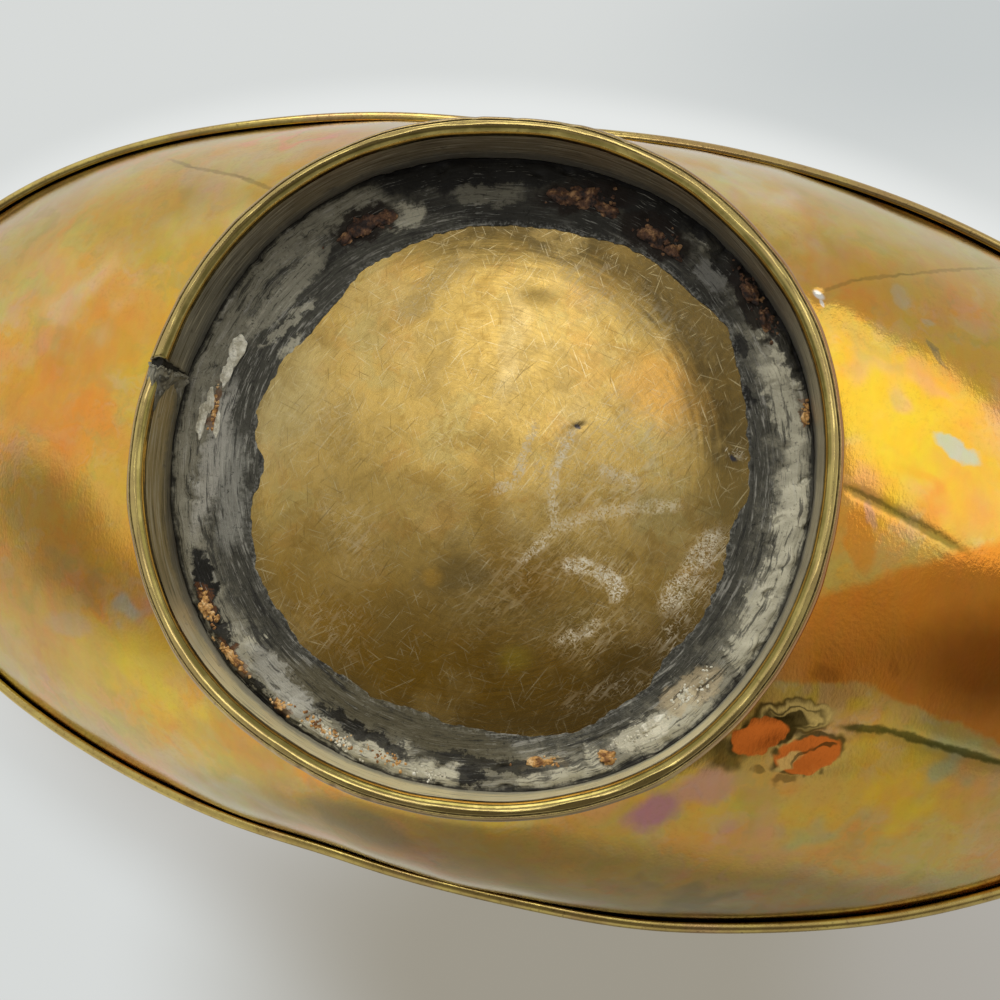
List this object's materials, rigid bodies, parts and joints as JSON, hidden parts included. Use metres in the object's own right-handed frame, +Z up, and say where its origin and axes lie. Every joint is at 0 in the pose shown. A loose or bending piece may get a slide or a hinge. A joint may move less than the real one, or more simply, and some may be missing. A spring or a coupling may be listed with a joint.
{
  "type": "footed bowl",
  "caption": "Oval sheet-brass bowl with a rolled rim on a low round foot, soldered under its base, for fruit or table display.",
  "frame": {"origin": "centre of the foot on the surface that the bowl stands on", "axes": "+Z up to the rim, +X along the oval's long axis, away from the foot's split seam"},
  "size_m": [0.335, 0.182, 0.055],
  "materials": {
    "polished_brass": "polished, with tarnish colours",
    "foot_brass": "aged satin, polished on the rolled edge",
    "wire_brass": "drawn wire",
    "dark_solder": "dull lead solder, brushed",
    "pale_solder": "dull lead solder, lumpy"
  },
  "bodies": {
    "root": {"bowl_shell": "polished_brass", "rim_wire": "wire_brass", "foot_band": "foot_brass", "foot_wire": "wire_brass", "old_solder": "dark_solder", "seam_solder": "dark_solder", "solder_run_01": "pale_solder", "solder_run_02": "pale_solder", "solder_run_03": "pale_solder", "solder_run_04": "pale_solder", "solder_run_05": "pale_solder", "solder_run_06": "pale_solder", "solder_run_07": "pale_solder", "solder_run_08": "pale_solder", "solder_run_09": "pale_solder", "solder_run_10": "pale_solder"}
  },
  "joints": []
}
